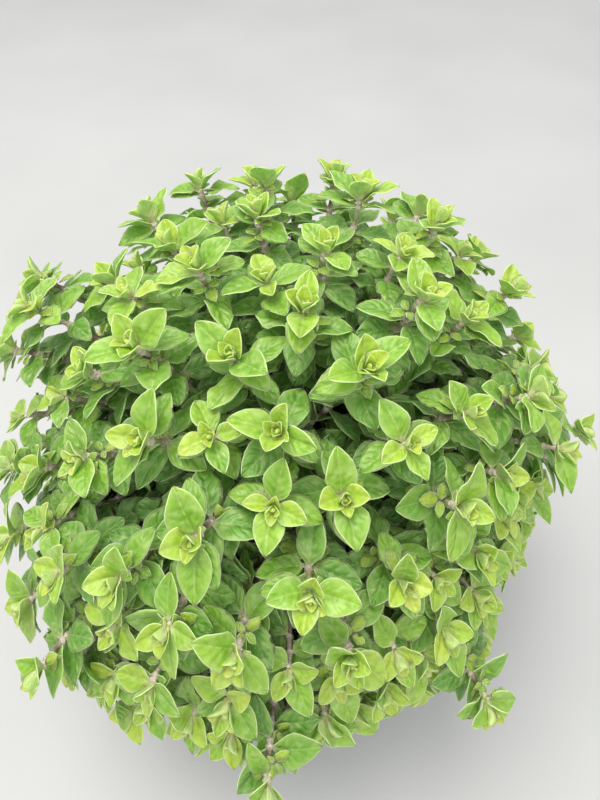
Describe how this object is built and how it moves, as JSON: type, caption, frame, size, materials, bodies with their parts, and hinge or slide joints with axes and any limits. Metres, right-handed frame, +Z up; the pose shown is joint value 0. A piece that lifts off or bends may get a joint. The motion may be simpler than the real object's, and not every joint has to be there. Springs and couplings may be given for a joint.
{
  "type": "potted oregano plant",
  "caption": "Bushy oregano plant with leafy upright and spreading stems, growing in potting soil in a plain round nursery pot.",
  "frame": {"origin": "centre of the pot's flat base, on the surface it stands on", "axes": "+Z up along the pot's axis; the pot is round, and +X is to the viewer's right when looking along +Y"},
  "size_m": [0.2265, 0.2484, 0.2407],
  "materials": {
    "pot_plastic": "matte moulded black plastic",
    "potting_soil": "rough crumbly peat",
    "foliage": "soft matte green leaf"
  },
  "bodies": {
    "root": {"pot": "pot_plastic", "soil": "potting_soil", "leafy_stem_01": "foliage", "leafy_stem_02": "foliage", "leafy_stem_03": "foliage", "leafy_stem_04": "foliage", "leafy_stem_05": "foliage", "leafy_stem_06": "foliage", "leafy_stem_07": "foliage", "leafy_stem_08": "foliage", "leafy_stem_09": "foliage", "leafy_stem_10": "foliage", "leafy_stem_11": "foliage", "leafy_stem_12": "foliage", "leafy_stem_13": "foliage", "leafy_stem_14": "foliage", "leafy_stem_15": "foliage", "leafy_stem_16": "foliage", "leafy_stem_17": "foliage", "leafy_stem_18": "foliage", "leafy_stem_19": "foliage", "leafy_stem_20": "foliage", "leafy_stem_21": "foliage", "leafy_stem_22": "foliage", "leafy_stem_23": "foliage", "leafy_stem_24": "foliage", "leafy_stem_25": "foliage", "leafy_stem_26": "foliage", "leafy_stem_27": "foliage", "leafy_stem_28": "foliage", "leafy_stem_29": "foliage", "leafy_stem_30": "foliage", "leafy_stem_31": "foliage"}
  },
  "joints": []
}
